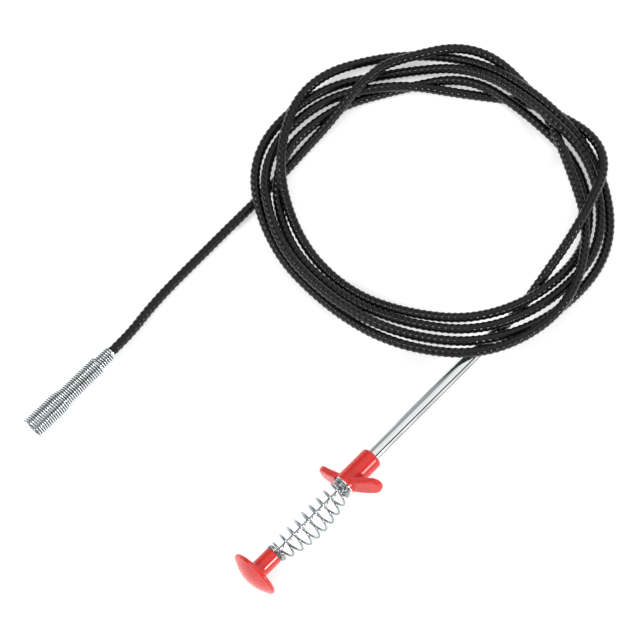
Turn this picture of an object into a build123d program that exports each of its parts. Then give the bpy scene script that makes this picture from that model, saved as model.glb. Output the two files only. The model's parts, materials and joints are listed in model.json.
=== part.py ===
from build123d import *
import os
from math import cos, sin, radians, sqrt, tan, pi

# Drain auger with a thumb plunger that pushes a four-prong claw out of the far end of a long hose.
# Frame: millimetres, +Z up. The handle lies along +X, from the thumb knob to the hose.
# The origin is on the floor under the middle of the handle. Everything rests on Z = 0.

# --- handle, driving sizes
handle_length = 208.0        # top of the knob's dome to the end of the steel tube
knob_radius = 15.5
knob_dome = 4.0              # height of the dome above the rim
knob_rim = 3.0               # thickness of the rim
knob_length = 21.7           # dome to the stem's end
stem_radius = 5.5
stem_flare = 4.0             # how far the stem widens where it meets the disc
stem_corner = 0.6            # bevel at the stem's end
rod_radius = 1.2
spring_length = 57.5         # return spring, relaxed in the handle
spring_wire = 1.2
spring_radius = 5.4          # centre of the wire
spring_turns = 12
seat_thickness = 0.8         # washer that the spring bears on
seat_radius = 6.3
grip_length = 24.0
grip_radius = 6.75
grip_round = 2.0             # fillet at the grip's tube end
grip_edge = 0.6              # fillet at its spring end
grip_face_wall = 1.0         # wall that the tube butts on inside
wing_span = 23.0             # from the handle's axis to a wing's tip
wing_width = 10.8
wing_thickness = 3.4
wing_root = 4.4              # thickness of the plate at the handle
wing_edge = 1.2              # fillet round a wing's outline
wing_sweep = 4.2             # tips lie this far towards the tube
wing_roll = 35.0             # the finger nearest the front is raised by this turn about the handle
wing_lean = 15.0             # the raised finger leans towards the tube
tube_radius = 5.0
tube_wall = 0.8
bush_length = 8.0
stop_length = 4.0            # collar that keeps the rod in the tube
crimp_length = 14.0
crimp_radius = 2.3
wire_radius = 0.6            # pull wire
travel = 34.0                # how far the thumb pushes the plunger

# --- fits
running_gap = 0.05           # radial, between a shaft and its bush
free_gap = 0.4               # between parts that pass each other
through = 5.0                # how far a cutting tool runs past a face

# --- hose
hose_radius = 3.0
coil_centre = (141.5, 83.7)
coil_turned = 111.5          # direction of the coil's long axis
coil_half_length = 97.0      # middle of the bundle, along the long axis
coil_half_width = 82.5
bundle_half = 13.0           # half the breadth of the bundle of turns
coil_height = 27.0
coil_round = 5.0

# --- head at the far end of the hose, lying along -X
head_y = 156.4
mouth_x = -124.2
head_length = 55.4
head_wire = 1.2              # wall of the head spring
head_radius = 6.75           # wide end, at the mouth
throat_radius = 5.4          # narrow end
head_wide = 22.0             # length of the wide part
head_flare = 7.0             # length of the cone between the two
sleeve_shows = 10.5          # length of the sleeve outside the head
sleeve_inside = 9.2
core_radius = 2.6            # bare spring core of the hose, inside the sleeve
core_bore = 1.1
core_back = 2.0              # the core ends this far inside the sleeve's inner end

# --- claw
prong_count = 4
prong_radius = 0.45
prong_root = 1.75            # distance of a prong's root from the axis
prong_bow = 2.0              # how much further out its tip lies
prong_hook = 2.6             # length of the inward hook
prong_knee = 0.55            # share of the prong before its bend
prong_lift = 0.2             # share of the bow that the prong has gained at its bend
prong_bend = 40.0            # radius of that bend
hook_lean = 0.4              # the hook's end leans this far forward
prong_hole = 1.1
claw_back = 2.0              # tips lie this far inside the mouth
ferrule_length = 8.0
ferrule_radius = 3.4
ferrule_gap = 2.2            # between the ferrule's back and the sleeve, at rest
prong_pivot = 1.0            # depth of a prong's pivot in the ferrule
wire_in_ferrule = 3.0        # depth of the pull wire in the ferrule's back
wire_cut = 1.0               # the wire's last straight piece stops this far inside the sleeve's end

# --- places that follow from the sizes
axis_height = knob_radius
knob_top = -handle_length / 2
rod_start = knob_top + knob_dome + knob_rim
tube_end = handle_length / 2
stem_end = knob_top + knob_length
seat_face = stem_end + spring_length
grip_face = seat_face + seat_thickness
grip_end = grip_face + grip_length
tube_start = grip_face + grip_face_wall
tube_bore = tube_radius - tube_wall
bush_end = tube_start + bush_length
stop_start = bush_end + free_gap
crimp_start = stop_start + stop_length
crimp_end = crimp_start + crimp_length
rod_end = crimp_start + crimp_length / 2
head_height = head_radius
head_bore = head_radius - head_wire
throat_bore = throat_radius - head_wire
throat_x = mouth_x + head_length
sleeve_end = throat_x + sleeve_shows
sleeve_start = throat_x - sleeve_inside
core_end = sleeve_start + core_back
ferrule_back = sleeve_start - ferrule_gap
ferrule_face = ferrule_back - ferrule_length
prong_length = ferrule_face - claw_back - mouth_x

os.makedirs("parts", exist_ok=True)
nodes = {}


def bar(start, end, radius, bore=0.0, y=0.0, z=axis_height):
    # round bar or tube along X, from start to end
    place = Pos((start + end) / 2, y, z) * Rot(0, 90, 0)
    solid = Cylinder(radius, abs(end - start))
    if bore:
        solid -= Cylinder(bore, abs(end - start) + through)
    return place * solid


def turned(edges, y=0.0, z=axis_height):
    # solid of revolution about the X direction from a closed outline in the XY half plane
    return Pos(0, y, z) * revolve(make_face(edges), Axis.X)


# ---------------------------------------------------------------- plunger
def thumb_knob():
    rim_front = knob_top + knob_dome
    rim_back = rim_front + knob_rim
    flare_x = rim_back + stem_flare
    flare_r = stem_radius + stem_flare
    flare_middle = stem_flare * (1 - sqrt(0.5))
    corner = knob_rim / 2
    dome_edge = knob_radius - corner
    dome_r = (dome_edge ** 2 + knob_dome ** 2) / (2 * knob_dome)
    middle_x = knob_top + dome_r - sqrt(dome_r ** 2 - dome_edge ** 2 / 4)
    dome = ThreePointArc((knob_top, 0), (middle_x, dome_edge / 2), (rim_front, dome_edge))
    edge = ThreePointArc((rim_front, dome_edge), (rim_front + corner, knob_radius), (rim_back, dome_edge))
    back = Line((rim_back, dome_edge), (rim_back, flare_r))
    flare = ThreePointArc((rim_back, flare_r), (rim_back + flare_middle, stem_radius + flare_middle),
                          (flare_x, stem_radius))
    stem = Polyline((flare_x, stem_radius), (stem_end - stem_corner, stem_radius),
                    (stem_end, stem_radius - stem_corner), (stem_end, 0), (knob_top, 0))
    knob = turned(Curve() + [dome, edge, back, flare, stem])
    return knob - bar(rod_start, stem_end + through, rod_radius)


nodes["thumb_knob"] = thumb_knob()
nodes["plunger_rod"] = bar(rod_start, rod_end, rod_radius)
nodes["rod_stop"] = bar(stop_start, crimp_start, tube_bore - free_gap, rod_radius)
crimp = bar(crimp_start, crimp_end, crimp_radius) - bar(crimp_start - through, rod_end, rod_radius)
nodes["wire_crimp"] = crimp - bar(rod_end, crimp_end + through, wire_radius)
nodes["pull_wire_handle"] = bar(rod_end, tube_end - travel - free_gap, wire_radius)

# ---------------------------------------------------------------- return spring
pitch = (spring_length - 2 * spring_wire) / spring_turns
coil = Helix(pitch, pitch * spring_turns, spring_radius)
coil = sweep(Plane(coil @ 0, z_dir=coil % 0) * Circle(spring_wire / 2), path=coil)
nodes["return_spring"] = Pos(stem_end + spring_wire, 0, axis_height) * Rot(0, 90, 0) * coil

# ---------------------------------------------------------------- finger grip
nodes["spring_seat"] = bar(seat_face, grip_face, seat_radius, rod_radius + free_gap)


def wings():
    # crescent plate across the handle, cut to a paddle with round tips
    overshoot = 1.25   # the plate is cut from one this much longer
    end_y, end_x = wing_span * overshoot, wing_sweep * overshoot ** 2
    upright = 90
    front = ThreePointArc((end_x, end_y), (0, 0), (end_x, -end_y))
    back = ThreePointArc((end_x + wing_thickness, -end_y), (wing_root, 0), (end_x + wing_thickness, end_y))
    tips = [Line((end_x, -end_y), (end_x + wing_thickness, -end_y)),
            Line((end_x + wing_thickness, end_y), (end_x, end_y))]
    plate = extrude(make_face(Curve() + [front, back] + tips), wing_width, both=True)
    paddle = extrude(SlotOverall(wing_span * 2, wing_width, upright), handle_length, both=True)
    plate = plate & Rot(0, 90, 0) * paddle
    shortest = 1.6 * wing_thickness   # the edges across the plate are shorter than this and stay sharp
    outline = [edge for edge in plate.edges() if edge.length > shortest]
    return fillet(outline, min(wing_edge, wing_thickness * 0.4))


body = bar(grip_face, grip_end, grip_radius)
body = fillet(body.edges().sort_by(Axis.X)[-1], grip_round)
body = fillet(body.edges().sort_by(Axis.X)[0], grip_edge)
wing_shift = (wing_sweep + wing_thickness / 2) * sin(radians(wing_lean))
wing_turn = Rot(-wing_roll, 0, 0) * Pos(0, -wing_shift, 0) * Rot(0, 0, wing_lean)
wing_place = Pos(grip_face, 0, axis_height) * wing_turn
body += wing_place * wings() - bar(grip_face - wing_span, grip_face, seat_radius + free_gap)
body -= bar(tube_start, grip_end + through, tube_radius)
nodes["finger_grip"] = body - bar(grip_face - through, tube_start + through, rod_radius + free_gap)
nodes["handle_tube"] = bar(tube_start, tube_end, tube_radius, tube_bore)
nodes["rod_bush"] = bar(tube_start, bush_end, tube_bore, rod_radius + running_gap)

# ---------------------------------------------------------------- hose
place = Pos(*coil_centre, 0) * Rot(0, 0, coil_turned)
outer = Ellipse(coil_half_length + bundle_half, coil_half_width + bundle_half)
inner = Ellipse(coil_half_length - bundle_half, coil_half_width - bundle_half)
ring = extrude(outer - inner, coil_height)
ring = fillet(ring.edges().group_by(Axis.Z)[-1], coil_round)
ring = place * ring - bar(tube_end - handle_length, tube_end, tube_radius)
lead_points = [(78, 162, 3), (50, 162, 3), (20, 161.6, 3), (-8, 161.2, 3), (-26, 159.6, 3.6),
               (-43, head_y, head_height), (sleeve_end, head_y, head_height)]
# a notch gives the lead a flat face to leave the coil from
notch_size = 2 * (hose_radius + free_gap)
notch = Box(coil_half_width, notch_size, notch_size, align=(Align.MAX, Align.CENTER, Align.CENTER))
nodes["hose_coil"] = ring - Pos(lead_points[0]) * notch


def hose_path(points):
    # straight runs joined by the largest tangent arcs that the runs allow
    run_share = 0.45
    radii = []
    for before, here, after in zip(points, points[1:], points[2:]):
        run_in, run_out = Vector(here) - Vector(before), Vector(after) - Vector(here)
        turn = run_in.get_angle(run_out)
        radii.append(run_share * min(run_in.length, run_out.length) / tan(radians(turn / 2)))
    print("hose bend radii, mm:", [round(r) for r in radii])
    return FilletPolyline(*points, radius=radii)


path = hose_path(lead_points)
lead = sweep(Plane(path @ 0, z_dir=path % 0) * Circle(hose_radius), path=path)
print("lead volume over section times length:", round(lead.volume / (pi * hose_radius ** 2 * path.length), 4))
nodes["hose_lead"] = lead

# ---------------------------------------------------------------- head
head = {"y": head_y, "z": head_height}
nodes["hose_core"] = bar(core_end, sleeve_end, core_radius, core_bore, **head)
nodes["sleeve_spring"] = bar(sleeve_start, sleeve_end, throat_bore, core_radius, **head)


def head_spring():
    wide_x, flare_x = mouth_x + head_wide, mouth_x + head_wide + head_flare
    outline = Polyline((mouth_x, head_bore), (mouth_x, head_radius), (wide_x, head_radius),
                       (flare_x, throat_radius), (throat_x, throat_radius), (throat_x, throat_bore),
                       (flare_x, throat_bore), (wide_x, head_bore), close=True)
    return turned(outline, **head)


nodes["head_spring"] = head_spring()

# ---------------------------------------------------------------- claw
first_prong = 45
around = [first_prong + 360 / prong_count * i for i in range(prong_count)]
ferrule = bar(ferrule_face, ferrule_back, ferrule_radius, **head)
for angle in around:
    y = head_y + prong_root * cos(radians(angle))
    z = head_height + prong_root * sin(radians(angle))
    ferrule -= bar(ferrule_face - through, ferrule_face + 2 * prong_pivot, prong_hole, y=y, z=z)
wire_start = ferrule_back - wire_in_ferrule
nodes["claw_ferrule"] = ferrule - bar(wire_start, ferrule_back + through, wire_radius, **head)
nodes["pull_wire_head"] = bar(wire_start, sleeve_end - wire_cut, wire_radius, **head)


def prong():
    # bowed wire from its root to an inward hook, lying along -X above the axis
    root = (0, 0, prong_root)
    knee = (-prong_length * prong_knee, 0, prong_root + prong_bow * prong_lift)
    tip = (-prong_length, 0, prong_root + prong_bow)
    hook = (-prong_length - hook_lean, 0, tip[2] - prong_hook)
    wire = FilletPolyline(root, knee, tip, hook, radius=[prong_bend, prong_radius * 2])
    return sweep(Plane(wire @ 0, z_dir=wire % 0) * Circle(prong_radius), path=wire)


pivot_x = ferrule_face + prong_pivot
for number, angle in enumerate(around, start=1):
    spin = Pos(pivot_x, head_y, head_height) * Rot(angle - 90, 0, 0)
    nodes[f"claw_prong_{number}"] = spin * prong()

for name, shape in nodes.items():
    solid = shape.solid() if len(shape.solids()) == 1 else Compound(shape.solids())
    solid.label = name
    export_step(solid, f"parts/{name}.step")
    print(name, len(shape.solids()), round(shape.volume, 1))
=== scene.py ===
import json
from math import cos, pi, radians, sin, tau

import bpy
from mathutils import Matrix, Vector


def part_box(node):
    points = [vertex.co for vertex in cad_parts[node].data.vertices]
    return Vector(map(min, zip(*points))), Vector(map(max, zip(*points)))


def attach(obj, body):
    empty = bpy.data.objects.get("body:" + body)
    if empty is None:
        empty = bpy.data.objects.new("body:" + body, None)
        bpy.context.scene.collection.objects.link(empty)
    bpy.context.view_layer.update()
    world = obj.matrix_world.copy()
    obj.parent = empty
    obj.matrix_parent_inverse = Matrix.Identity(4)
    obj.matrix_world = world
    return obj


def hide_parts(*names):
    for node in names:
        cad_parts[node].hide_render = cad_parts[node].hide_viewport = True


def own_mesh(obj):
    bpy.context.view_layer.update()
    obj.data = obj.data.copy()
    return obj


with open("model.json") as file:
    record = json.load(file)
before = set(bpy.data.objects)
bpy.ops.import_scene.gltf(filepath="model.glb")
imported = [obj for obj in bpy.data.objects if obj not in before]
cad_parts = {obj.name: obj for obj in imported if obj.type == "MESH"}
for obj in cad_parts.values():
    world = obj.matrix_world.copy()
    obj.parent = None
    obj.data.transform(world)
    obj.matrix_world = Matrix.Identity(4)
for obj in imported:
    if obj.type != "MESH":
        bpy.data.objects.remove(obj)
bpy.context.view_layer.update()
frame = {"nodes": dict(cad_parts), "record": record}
nodes = frame["nodes"]
print("frame loaded,", len(nodes), "nodes")

scene = bpy.context.scene
scene.view_settings.view_transform = "Standard"
mm = 0.001

# ---- camera
cameraSpot = {
    "lens": 250,
    "sensor": 36,
    "target": (0.0404, 0.0819, 0.008),
    "distance": 2.609,
    "elevation": 71,   # degrees above the floor
    "heading": 44,     # degrees from +X, the way the camera looks
    "farthest": 20,
}


def makeCamera():
    tilt, heading = radians(cameraSpot["elevation"]), radians(cameraSpot["heading"])
    back = Vector((-cos(heading) * cos(tilt), -sin(heading) * cos(tilt), sin(tilt)))
    camera = bpy.data.objects.new("camera", bpy.data.cameras.new("camera"))
    scene.collection.objects.link(camera)
    camera.data.lens = cameraSpot["lens"]
    camera.data.sensor_width = cameraSpot["sensor"]
    camera.data.clip_end = cameraSpot["farthest"]
    camera.location = Vector(cameraSpot["target"]) + back * cameraSpot["distance"]
    camera.rotation_euler = (-back).to_track_quat("-Z", "Y").to_euler()
    scene.camera = camera


makeCamera()
print("camera in place")


# ---- mesh helpers
def addPiece(name, verts, faces, material, body):
    mesh = bpy.data.meshes.new(name)
    mesh.from_pydata(verts, [], faces)
    mesh.validate()
    mesh.polygons.foreach_set("use_smooth", [True] * len(mesh.polygons))
    mesh.materials.append(material)
    piece = bpy.data.objects.new(name, mesh)
    scene.collection.objects.link(piece)
    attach(piece, body)
    return piece


def sweepTube(line, sides, radiusAt):
    # skins a tube round a line; radiusAt takes the length so far and the angle round the tube
    lengths = [0.0]
    for a, b in zip(line, line[1:]):
        lengths.append(lengths[-1] + (b - a).length)
    ahead = (line[1] - line[0]).normalized()
    side = ahead.orthogonal().normalized()
    verts, faces = [], []
    for i, spot in enumerate(line):
        new = (line[min(i + 1, len(line) - 1)] - line[max(i - 1, 0)]).normalized()
        side = ahead.rotation_difference(new) @ side
        side = (side - new * side.dot(new)).normalized()
        ahead = new
        over = new.cross(side)
        for k in range(sides):
            angle = tau * k / sides
            reach = radiusAt(lengths[i], angle)
            verts.append(spot + (side * cos(angle) + over * sin(angle)) * reach)
    for i in range(len(line) - 1):
        for k in range(sides):
            a, b = i * sides + k, i * sides + (k + 1) % sides
            faces.append((a, b, b + sides, a + sides))
    faces.append(tuple(reversed(range(sides))))
    faces.append(tuple(range(len(verts) - sides, len(verts))))
    return verts, faces


def evenLine(line, step):
    # the same line, read again at even steps
    out, carry = [line[0]], step
    for a, b in zip(line, line[1:]):
        run = (b - a).length
        while carry <= run:
            out.append(a.lerp(b, carry / run))
            carry += step
        carry -= run
    if (out[-1] - line[-1]).length > step / 4:
        out.append(line[-1])
    return out


# ---- material helpers
def newMaterial(name, colour, metallic, roughness, sockets=None):
    material = bpy.data.materials.new(name)
    material.use_nodes = True
    shader = material.node_tree.nodes["Principled BSDF"]
    shader.inputs["Base Color"].default_value = (*colour, 1)
    shader.inputs["Metallic"].default_value = metallic
    shader.inputs["Roughness"].default_value = roughness
    for socket, value in (sockets or {}).items():
        shader.inputs[socket].default_value = value
    return material, material.node_tree, shader


def addNoise(tree, scale, detail=4.0, stretch=(1, 1, 1)):
    coords = tree.nodes.new("ShaderNodeTexCoord")
    mapping = tree.nodes.new("ShaderNodeMapping")
    mapping.inputs["Scale"].default_value = stretch
    noise = tree.nodes.new("ShaderNodeTexNoise")
    noise.inputs["Scale"].default_value = scale
    noise.inputs["Detail"].default_value = detail
    tree.links.new(coords.outputs["Object"], mapping.inputs["Vector"])
    tree.links.new(mapping.outputs["Vector"], noise.inputs["Vector"])
    return noise.outputs["Fac"]


# the middle of a noise, which is spread over the whole range
noiseSpan = (0.35, 0.65)


def spread(tree, source, low, high, span=noiseSpan):
    # turns a noise into a value between low and high
    node = tree.nodes.new("ShaderNodeMapRange")
    node.inputs["From Min"].default_value = span[0]
    node.inputs["From Max"].default_value = span[1]
    node.inputs["To Min"].default_value = low
    node.inputs["To Max"].default_value = high
    tree.links.new(source, node.inputs["Value"])
    return node.outputs["Result"]


def tint(tree, source, shader, dark, light):
    # base colour that drifts between two shades
    ramp = tree.nodes.new("ShaderNodeValToRGB")
    for stop, place, shade in zip(ramp.color_ramp.elements, noiseSpan, (dark, light)):
        stop.position = place
        stop.color = (*shade, 1)
    tree.links.new(source, ramp.inputs["Fac"])
    tree.links.new(ramp.outputs["Color"], shader.inputs["Base Color"])


def addBump(tree, source, shader, strength, distance):
    bump = tree.nodes.new("ShaderNodeBump")
    bump.inputs["Strength"].default_value = strength
    bump.inputs["Distance"].default_value = distance
    tree.links.new(source, bump.inputs["Height"])
    tree.links.new(bump.outputs["Normal"], shader.inputs["Normal"])


# ---- finishes
redPlastic = {
    "dark": (0.62, 0.018, 0.013),
    "light": (0.70, 0.026, 0.019),
    "roughness": 0.28,
    "sockets": {"Coat Weight": 0.2, "Coat Roughness": 0.16},
    "drift": {"scale": 60, "detail": 3, "stretch": (0.4, 1, 1)},
    "shine": {"scale": 900, "detail": 5},
    "gloss": (0.25, 0.29),
    "grain": {"scale": 420, "detail": 3},
    "bump": (0.08, 0.08 * mm),
}
hoseSkin = {
    "dark": (0.002, 0.002, 0.002),
    "light": (0.004, 0.004, 0.004),
    "roughness": 0.3,
    "sockets": {"Specular IOR Level": 0.35},
    "drift": {"scale": 40},
    "shine": {"scale": 1600, "detail": 6},
    "gloss": (0.16, 0.24),
    "grain": {"scale": 1600, "detail": 6},
    "bump": (0.2, 0.06 * mm),
}
blackNylon = {
    "dark": (0.010, 0.010, 0.011),
    "light": (0.022, 0.022, 0.024),
    "roughness": 0.5,
    "sockets": {},
    "drift": {"scale": 120},
    "shine": {"scale": 1100, "detail": 5},
    "gloss": (0.42, 0.58),
    "grain": {"scale": 1100, "detail": 5},
    "bump": (0.15, 0.06 * mm),
}
platedSteel = {"dark": (0.80, 0.82, 0.83), "light": (0.90, 0.91, 0.92), "gloss": (0.05, 0.12)}
springSteel = {"dark": (0.26, 0.32, 0.33), "light": (0.44, 0.50, 0.51), "gloss": (0.10, 0.22)}
bareSteel = {"dark": (0.50, 0.51, 0.52), "light": (0.62, 0.63, 0.64), "gloss": (0.18, 0.32)}
turnedBrass = {"dark": (0.62, 0.43, 0.16), "light": (0.74, 0.54, 0.24), "gloss": (0.18, 0.30)}
headSteel = {
    # the groove colour is painted shade, for the dark grooves between the turns
    "shadedGroove": (0.055, 0.085, 0.09),
    "crest": (0.86, 0.92, 0.93),
    "roughness": 0.2,
    "gloss": (0.16, 0.28),
}
wireStrands = {
    "roughness": 0.3,
    "scale": 260,
    "gloss": (0.38, 0.22),
    "span": (0, 1),
    "bump": (0.6, 0.1 * mm),
}
metalMarks = {"scale": 1400, "detail": 6, "strength": 0.12, "driftScale": 90, "roughness": 0.15}
fineMarks, deeperMarks = 0.01 * mm, 0.02 * mm
# a value under 1 draws the marks out along that axis
evenly, lengthwise, lessDrawn, roundAbout = (1, 1, 1), (0.05, 1, 1), (0.2, 1, 1), (1, 0.2, 0.2)


def makePlastic(name, look):
    # a shade that drifts a little, under a fine grain
    material, tree, shader = newMaterial(name, look["light"], 0, look["roughness"], look["sockets"])
    tint(tree, addNoise(tree, **look["drift"]), shader, look["dark"], look["light"])
    shine = spread(tree, addNoise(tree, **look["shine"]), *look["gloss"])
    tree.links.new(shine, shader.inputs["Roughness"])
    addBump(tree, addNoise(tree, **look["grain"]), shader, *look["bump"])
    return material


def markMetal(tree, shader, gloss, stretch, bumpSize):
    # fine marks that break up the shine
    marks = addNoise(tree, metalMarks["scale"], metalMarks["detail"], stretch)
    tree.links.new(spread(tree, marks, *gloss), shader.inputs["Roughness"])
    addBump(tree, marks, shader, metalMarks["strength"], bumpSize)


def makeMetal(name, look, stretch, bumpSize):
    material, tree, shader = newMaterial(name, look["light"], 1, metalMarks["roughness"])
    drift = addNoise(tree, metalMarks["driftScale"], stretch=stretch)
    tint(tree, drift, shader, look["dark"], look["light"])
    markMetal(tree, shader, look["gloss"], stretch, bumpSize)
    return material


def makeWoundSteel():
    # wire wound round X: its flanks, which face along X, are painted darker than its crests; the dark flanks
    # are painted shade for the grooves between the turns
    material, tree, shader = newMaterial("woundSteel", headSteel["crest"], 1, headSteel["roughness"])
    facing = tree.nodes.new("ShaderNodeNewGeometry")
    split = tree.nodes.new("ShaderNodeSeparateXYZ")
    paintedFlankShade = tree.nodes.new("ShaderNodeMath")
    paintedFlankShade.operation = "ABSOLUTE"
    tree.links.new(facing.outputs["Normal"], split.inputs["Vector"])
    tree.links.new(split.outputs["X"], paintedFlankShade.inputs[0])
    # painted shade: the groove colour goes where the normal faces along X, the crest colour elsewhere
    tint(tree, paintedFlankShade.outputs[0], shader, headSteel["crest"], headSteel["shadedGroove"])
    markMetal(tree, shader, headSteel["gloss"], evenly, deeperMarks)
    return material


def makeStrandedWire():
    # twisted strands show as slanted grooves, painted darker than the strands' crests as painted shade
    look = wireStrands
    material, tree, shader = newMaterial("strandedWire", bareSteel["light"], 1, look["roughness"])
    coords = tree.nodes.new("ShaderNodeTexCoord")
    strands = tree.nodes.new("ShaderNodeTexWave")
    strands.bands_direction = "DIAGONAL"
    strands.inputs["Scale"].default_value = look["scale"]
    tree.links.new(coords.outputs["Object"], strands.inputs["Vector"])
    shadedGroove = strands.outputs["Fac"]
    # painted shade: the grooves between the strands take the darker colour
    tint(tree, shadedGroove, shader, bareSteel["dark"], bareSteel["light"])
    tree.links.new(spread(tree, shadedGroove, *look["gloss"], look["span"]), shader.inputs["Roughness"])
    addBump(tree, shadedGroove, shader, *look["bump"])
    return material


finishes = {
    "red_plastic": makePlastic("redPlastic", redPlastic),
    "plated_steel": makeMetal("platedSteel", platedSteel, lengthwise, fineMarks),
    "spring_steel": makeMetal("springSteel", springSteel, evenly, deeperMarks),
    "head_steel": makeWoundSteel(),
    "plain_steel": makeMetal("drawnRod", bareSteel, lengthwise, fineMarks),
    "claw_wire": makeMetal("clawWire", springSteel, lessDrawn, fineMarks),
    "brass": makeMetal("turnedBrass", turnedBrass, roundAbout, deeperMarks),
    "pull_wire": makeStrandedWire(),
    "black_nylon": makePlastic("blackNylon", blackNylon),
    "black_hose": makePlastic("hoseSkin", hoseSkin),
}
print("finishes made:", len(finishes))


def dressNodes():
    # each CAD node takes its slot's finish
    slots = {part["node"]: part["material_slot"] for part in frame["record"]["subparts"]}
    for name, node in nodes.items():
        node.data.materials.clear()
        node.data.materials.append(finishes[slots[name]])


dressNodes()
print("CAD nodes dressed")

# ---- hose
hose = {
    "radius": 3.0 * mm,
    "length": 2.84,
    "exit": (0.104, 0, 0.0155),
    "ridgePitch": 3.7 * mm,
    "ridgeDepth": 0.36 * mm,
    "ridgeSunk": 0.7,       # share of a ridge's height that lies under the stated radius
    "ridgeSharpness": 2,    # higher values narrow the crest
    "sides": 14,
    "step": 0.42 * mm,
    "order": 3,
    "resolution": 24,
}
# the wound part: one lane is one hose diameter outwards, one layer is one diameter up
winding = {
    "centre": (0.1415, 0.0837),
    "radius": 89.7 * mm,
    "oval": 7.3 * mm,
    "ovalTurn": 111.5,
    "lobe": 1.8 * mm,
    "lobeTurn": 10,
    "firstStation": -90,
    "stationStep": 30,
    "fullness": 1.035,   # the smooth line runs inside its control points
}
# one row for each turn, one value for each station; the last row is part of a turn
lanes = [
    [-3.0, -2.0, 2.75, 0.25, -2.25, -2.0, 0.0, 1.0, 0.75, 0.75, 1.0, 1.0],
    [0.5, 1.75, 1.25, 0.0, 1.25, 1.75, 2.0, -0.5, -1.5, -1.25, -1.25, -1.5],
    [-1.75, -0.5, -0.5, -1.75, -0.5, -2.0, -1.5, -0.25, -0.25, -0.25, -0.25, -0.25],
    [-0.75, 0.75, 0.5, -1.0, 0.25, -0.25, 1.0, 2.25, 1.25, 1.0, 2.25, 2.25],
    [1.0, -0.75, -2.0, 0.25, 2.75],
]
layers = [
    [2.0, 3.5, 2.0, 0.0, 0.0, 1.5, 0.0, 1.25, 2.25, 2.5, 3.0, 3.75],
    [1.75, 0.0, 0.5, 2.75, 1.0, 0.0, 1.5, 2.5, 1.0, 1.0, 3.0, 3.75],
    [3.0, 0.5, 0.0, 1.25, 0.75, 0.0, 0.0, 1.25, 1.0, 1.5, 3.0, 3.75],
    [2.5, 0.5, 1.5, 3.0, 1.5, 0.0, 0.5, 1.0, 1.0, 0.5, 3.25, 3.75],
    [3.25, 2.0, 2.25, 1.0, 1.75],
]
# out of the handle's tube, and from the last turn over four strands and under four to the head
hoseStart = [(0.1038, 0, 0.0155), (0.116, 0, 0.0155), (0.128, 0.001, 0.014)]
hoseEnd = [
    (0.186, 0.1644, 0.013), (0.172, 0.1662, 0.013), (0.158, 0.1664, 0.013), (0.145, 0.1655, 0.0095),
    (0.130, 0.1646, 0.0055), (0.114, 0.1644, 0.003), (0.096, 0.1632, 0.003),
    (0.078, 0.162, 0.003), (0.050, 0.162, 0.003), (0.020, 0.1616, 0.003), (-0.008, 0.1612, 0.003),
    (-0.026, 0.1596, 0.0036), (-0.043, 0.1564, 0.00675), (-0.0583, 0.1564, 0.00675),
]


def woundPoints():
    points = []
    station = winding["firstStation"]
    for lap, heights in zip(lanes, layers):
        for lane, layer in zip(lap, heights):
            middle = (winding["radius"] + winding["oval"] * cos(radians(2 * (station - winding["ovalTurn"])))
                      + winding["lobe"] * cos(radians(3 * (station - winding["lobeTurn"]))))
            out = (middle + lane * 2 * hose["radius"]) * winding["fullness"]
            up = hose["radius"] + layer * 2 * hose["radius"]
            x = winding["centre"][0] + out * cos(radians(station))
            y = winding["centre"][1] + out * sin(radians(station))
            points.append((x, y, up))
            station += winding["stationStep"]
    return points


def smoothLine(points):
    # the line of a NURBS spline that has these control points
    curve = bpy.data.curves.new("hoseRoute", "CURVE")
    curve.dimensions = "3D"
    curve.resolution_u = hose["resolution"]
    spline = curve.splines.new("NURBS")
    spline.points.add(len(points) - 1)
    for point, spot in zip(spline.points, points):
        point.co = (*spot, 1)
    spline.order_u = hose["order"]
    spline.use_endpoint_u = True
    holder = bpy.data.objects.new("hoseRoute", curve)
    scene.collection.objects.link(holder)
    bpy.context.view_layer.update()
    mesh = bpy.data.meshes.new_from_object(holder)
    line = [vert.co.copy() for vert in mesh.vertices]
    bpy.data.objects.remove(holder)
    bpy.data.meshes.remove(mesh)
    bpy.data.curves.remove(curve)
    return line


def makeHose():
    line = evenLine(smoothLine(hoseStart + woundPoints() + hoseEnd), hose["step"])

    def skin(along, angle):
        # one ridge winds round the hose, with a narrow crest
        turn = (along / hose["ridgePitch"] - angle / tau) % 1.0
        crest = (0.5 + 0.5 * cos(tau * turn)) ** hose["ridgeSharpness"]
        return hose["radius"] + hose["ridgeDepth"] * (crest - hose["ridgeSunk"])

    verts, faces = sweepTube(line, hose["sides"], skin)
    piece = addPiece("drainHose", verts, faces, finishes["black_hose"], "root")
    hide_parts("hose_coil", "hose_lead")
    return piece, line


hosePiece, hoseLine = makeHose()
print("hose laid,", len(hoseLine), "rings")

# ---- springs
returnSpring = {
    "wire": 0.66 * mm,
    "endRadius": 5.34 * mm,
    "middleRadius": 8.5 * mm,
    "bow": 2.6 * mm,       # how far the middle of the coil lies to one side of the rod
    "openTurns": 8.5,
    "closedTurns": 1.75,
    "closedPitch": 2.05,   # in wire radii; at 2 the closed turns would touch
    "barrel": 0.8,         # lower values fill the barrel out towards its ends
    "hand": -1,
    "stepsPerTurn": 40,
    "sides": 12,
}


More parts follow.
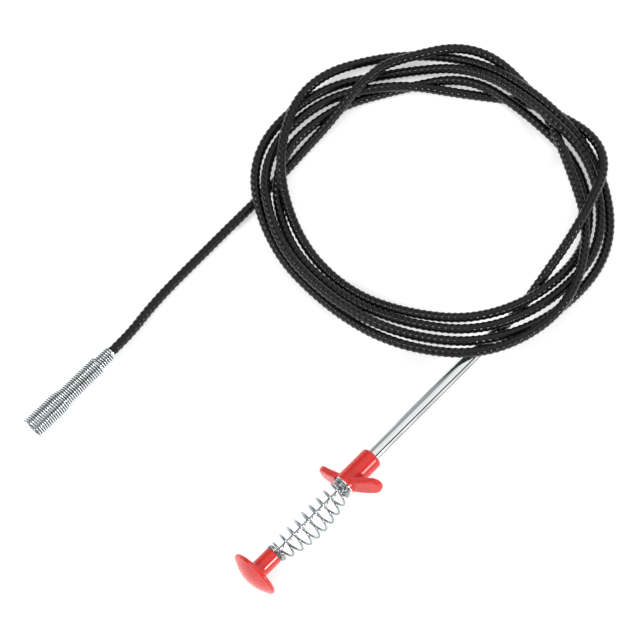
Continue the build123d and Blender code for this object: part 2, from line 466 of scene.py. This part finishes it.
def makeReturnSpring():
    low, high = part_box("thumb_knob")[1].x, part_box("spring_seat")[0].x
    axisHeight = (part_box("thumb_knob")[0].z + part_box("thumb_knob")[1].z) / 2
    wire, closed, opened = returnSpring["wire"], returnSpring["closedTurns"], returnSpring["openTurns"]
    turns = opened + 2 * closed
    narrow = returnSpring["endRadius"]
    start, end = low + wire, high - wire
    closedPitch = wire * returnSpring["closedPitch"]
    closedRun = closed * closedPitch
    openPitch = (end - start - 2 * closedRun) / opened
    count = int(turns * returnSpring["stepsPerTurn"])
    line = []
    for i in range(count + 1):
        turn = turns * i / count
        if turn < closed:
            x = start + turn * closedPitch
        elif turn < closed + opened:
            x = start + closedRun + (turn - closed) * openPitch
        else:
            x = end - (turns - turn) * closedPitch
        middle = 0
        if start < x < end:
            middle = sin(pi * (x - start) / (end - start)) ** returnSpring["barrel"]
        reach = narrow + (returnSpring["middleRadius"] - narrow) * middle
        angle = returnSpring["hand"] * tau * turn
        aside = -returnSpring["bow"] * middle
        line.append(Vector((x, aside + reach * cos(angle), axisHeight + reach * sin(angle))))
    verts, faces = sweepTube(line, returnSpring["sides"], lambda along, angle: wire)
    piece = addPiece("returnSpring", verts, faces, finishes["spring_steel"], "root")
    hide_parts("return_spring")
    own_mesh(piece)
    return piece


makeReturnSpring()
print("return spring wound")

head = {
    "wire": 0.62 * mm,
    "pitch": 1.5 * mm,
    "wideLength": 22 * mm,
    "flareLength": 7 * mm,
    "throat": 5.4 * mm,
    "stepsPerTurn": 36,
    "sides": 10,
}
sleeve = {
    "wire": 0.6 * mm,
    "pitch": 1.5 * mm,
    "endRadius": 3.45 * mm,
    "endRun": 2.5 * mm,
    "stepsPerTurn": 36,
    "sides": 10,
}


def woundWire(start, end, pitch, steps, reachAt, axis):
    # the line of a wire wound round X, from start to end
    count = int((end - start) / pitch * steps)
    line = []
    for i in range(count + 1):
        x = start + (end - start) * i / count
        angle = tau * i / steps
        reach = reachAt(x)
        line.append(Vector((x, axis[0] + reach * cos(angle), axis[1] + reach * sin(angle))))
    return line


def ease(share):
    share = min(1.0, max(0.0, share))
    return share * share * (3 - 2 * share)


def makeHead():
    low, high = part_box("head_spring")
    axis = ((low.y + high.y) / 2, (low.z + high.z) / 2)
    wire = head["wire"]
    wide, narrow = (high.z - low.z) / 2 - wire, head["throat"] - wire

    def reachAt(x):
        return wide + (narrow - wide) * ease((x - low.x - head["wideLength"]) / head["flareLength"])

    line = woundWire(low.x + wire, high.x - wire, head["pitch"], head["stepsPerTurn"], reachAt, axis)
    verts, faces = sweepTube(line, head["sides"], lambda along, angle: wire)
    coil = addPiece("headCoil", verts, faces, finishes["head_steel"], "root")
    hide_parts("head_spring")

    inLow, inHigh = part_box("sleeve_spring")
    outside = (inHigh.z - inLow.z) / 2 - sleeve["wire"]

    def sleeveReach(x):
        return sleeve["endRadius"] + (outside - sleeve["endRadius"]) * ease((inHigh.x - x) / sleeve["endRun"])

    line = woundWire(inLow.x + sleeve["wire"], inHigh.x - sleeve["wire"], sleeve["pitch"],
                     sleeve["stepsPerTurn"], sleeveReach, axis)
    verts, faces = sweepTube(line, sleeve["sides"], lambda along, angle: sleeve["wire"])
    inner = addPiece("sleeveCoil", verts, faces, finishes["head_steel"], "root")
    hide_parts("sleeve_spring")
    return coil, inner


headCoil, sleeveCoil = makeHead()
print("head wound")

onHose = [headCoil, sleeveCoil, nodes["hose_core"], nodes["claw_ferrule"], nodes["pull_wire_head"]]
onHose += [nodes[name] for name in sorted(nodes) if name.startswith("claw_prong")]

# ---- studio
studio = {
    "floorSize": 12,
    "floorColour": (0.86, 0.86, 0.86),
    "floorRoughness": 0.9,
    "floorDrop": 0.2 * mm,   # keeps the hose's crests out of the paint
    "floorGlow": 0.42,
    "sky": 0.72,
    # place across the sky, from -Y to +Y, and how bright it is there
    "skyStops": [(0.0, 0.6), (0.05, 0.8), (0.10, 1.3), (0.15, 1.3), (0.18, 0.05), (0.27, 0.05),
                 (0.30, 1.3), (0.42, 1.4), (0.78, 1.2), (0.84, 0.42), (0.92, 0.42), (0.97, 0.8)],
    "keyPower": 15,
    "keySize": 0.16,
    "keyFrom": (0.25, -1.6, 0.95),
    "fillPower": 12,
    "fillSize": 0.5,
    "fillFrom": (-1.1, 0.9, 1.6),
}


def makeFloor():
    half = studio["floorSize"] / 2
    mesh = bpy.data.meshes.new("floor")
    corners = [(-half, -half, 0), (half, -half, 0), (half, half, 0), (-half, half, 0)]
    mesh.from_pydata(corners, [], [(0, 1, 2, 3)])
    glow = {"Emission Color": (1, 1, 1, 1), "Emission Strength": studio["floorGlow"]}
    paint = newMaterial("floorPaint", studio["floorColour"], 0, studio["floorRoughness"], glow)[0]
    mesh.materials.append(paint)
    floorPlane = bpy.data.objects.new("floor", mesh)
    scene.collection.objects.link(floorPlane)
    floorPlane.location.z = -studio["floorDrop"]


def makeSky():
    # pale all round, with a dark strip and a grey one for the metal to mirror
    world = bpy.data.worlds.new("studioSky")
    scene.world = world
    world.use_nodes = True
    tree = world.node_tree
    coords = tree.nodes.new("ShaderNodeTexCoord")
    split = tree.nodes.new("ShaderNodeSeparateXYZ")
    tree.links.new(coords.outputs["Generated"], split.inputs["Vector"])
    strip = tree.nodes.new("ShaderNodeValToRGB")
    strip.color_ramp.interpolation = "EASE"
    bar = strip.color_ramp.elements
    while len(bar) < len(studio["skyStops"]):
        bar.new(0.5)
    for stop, (place, shade) in zip(bar, studio["skyStops"]):
        stop.position = place
        stop.color = (shade, shade, shade, 1)
    half = tree.nodes.new("ShaderNodeMath")
    half.operation = "MULTIPLY_ADD"
    half.inputs[1].default_value = 0.5
    half.inputs[2].default_value = 0.5
    tree.links.new(split.outputs["Y"], half.inputs[0])
    tree.links.new(half.outputs[0], strip.inputs["Fac"])
    background = tree.nodes["Background"]
    background.inputs["Strength"].default_value = studio["sky"]
    tree.links.new(strip.outputs["Color"], background.inputs["Color"])


def addLamp(name, power, size, spot):
    lamp = bpy.data.lights.new(name, "AREA")
    lamp.energy = power
    lamp.size = size
    holder = bpy.data.objects.new(name, lamp)
    scene.collection.objects.link(holder)
    holder.location = spot
    aim = Vector(cameraSpot["target"]) - Vector(spot)
    holder.rotation_euler = aim.to_track_quat("-Z", "Y").to_euler()


makeFloor()
makeSky()
addLamp("key", studio["keyPower"], studio["keySize"], studio["keyFrom"])
addLamp("fill", studio["fillPower"], studio["fillSize"], studio["fillFrom"])
print("studio lit")
